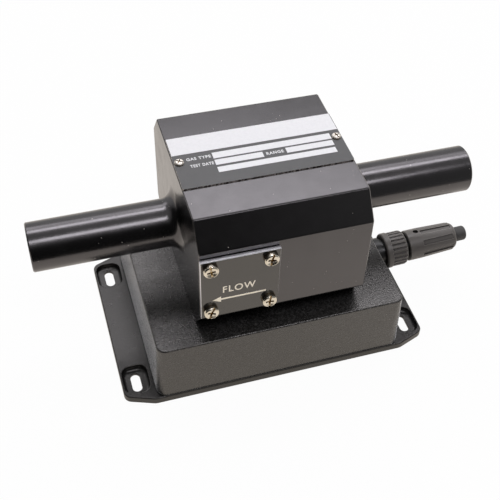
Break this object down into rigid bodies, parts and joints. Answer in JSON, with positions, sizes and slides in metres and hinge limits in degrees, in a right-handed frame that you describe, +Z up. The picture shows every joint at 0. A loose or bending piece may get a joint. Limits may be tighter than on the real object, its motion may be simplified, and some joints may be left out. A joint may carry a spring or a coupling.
{
  "type": "blow-by flow meter",
  "caption": "Vortex blow-by flow meter: faceted block with straight hose stubs, flow cover plate and nameplate, on a flanged die-cast box with a circular cable plug.",
  "frame": {"origin": "middle of the base lid's underside, under the middle of the flow tube", "axes": "+X along the flow tube towards the gas inlet and the cable plug, +Y to the rear, +Z up from the mounting surface"},
  "size_m": [0.2512, 0.1098, 0.1173],
  "materials": {
    "anodised": "black anodised, satin",
    "cast": "fine textured black powder coat",
    "cover": "dark grey anodised, glossy, engraved white",
    "plate": "printed dark grey and white",
    "steel": "bright stainless",
    "rubber": "matt",
    "brass": "plated",
    "board": "green solder mask",
    "electronics": "moulded",
    "can": "bright can",
    "transducer": "machined case",
    "connector": "moulded black",
    "insulation": "coloured sleeve"
  },
  "bodies": {
    "meter": {"flow_body": "anodised", "box_housing": "cast", "base_lid": "cast", "cover_plate": "cover", "nameplate": "plate", "vortex_strut": "steel", "cover_screws": "steel", "nameplate_screws": "steel", "body_washers": "steel", "body_screws": "steel", "lid_screws": "steel", "board_screws": "steel", "transducer_seals": "rubber", "cover_gasket": "rubber", "passage_seals": "rubber", "lid_gasket": "rubber", "panel_seal": "rubber", "transducer_retainer": "brass", "board_spacers": "brass", "receptacle_contacts": "brass", "circuit_board": "board", "terminal_block": "electronics", "signal_chips": "electronics", "capacitors": "can", "transmit_transducer": "transducer", "receive_transducer": "transducer", "receptacle_shell": "connector", "receptacle_insert": "connector", "panel_nut": "connector", "transmit_lead": "insulation", "receive_lead": "insulation", "output_wires": "insulation"},
    "plug": {"plug_body": "connector", "plug_insert": "connector", "plug_sockets": "brass", "back_shell": "connector", "cable_stopper": "rubber"},
    "nut": {"coupling_nut": "connector"}
  },
  "joints": [
    {"name": "plug_slide", "type": "slide", "parent": "meter", "child": "plug", "axis": [0.9991, 0, 0.0429], "range_m": [0, 0.00485]},
    {"name": "nut_turn", "type": "hinge", "parent": "plug", "child": "nut", "pos_m": [0.08595, 0, 0.02245], "axis": [0.9991, 0, 0.0429], "range_deg": [0, 1440]}
  ],
  "couplings": [
    {"joint": "plug_slide", "follows": "nut_turn", "m_per_rad": 0.00019099}
  ]
}
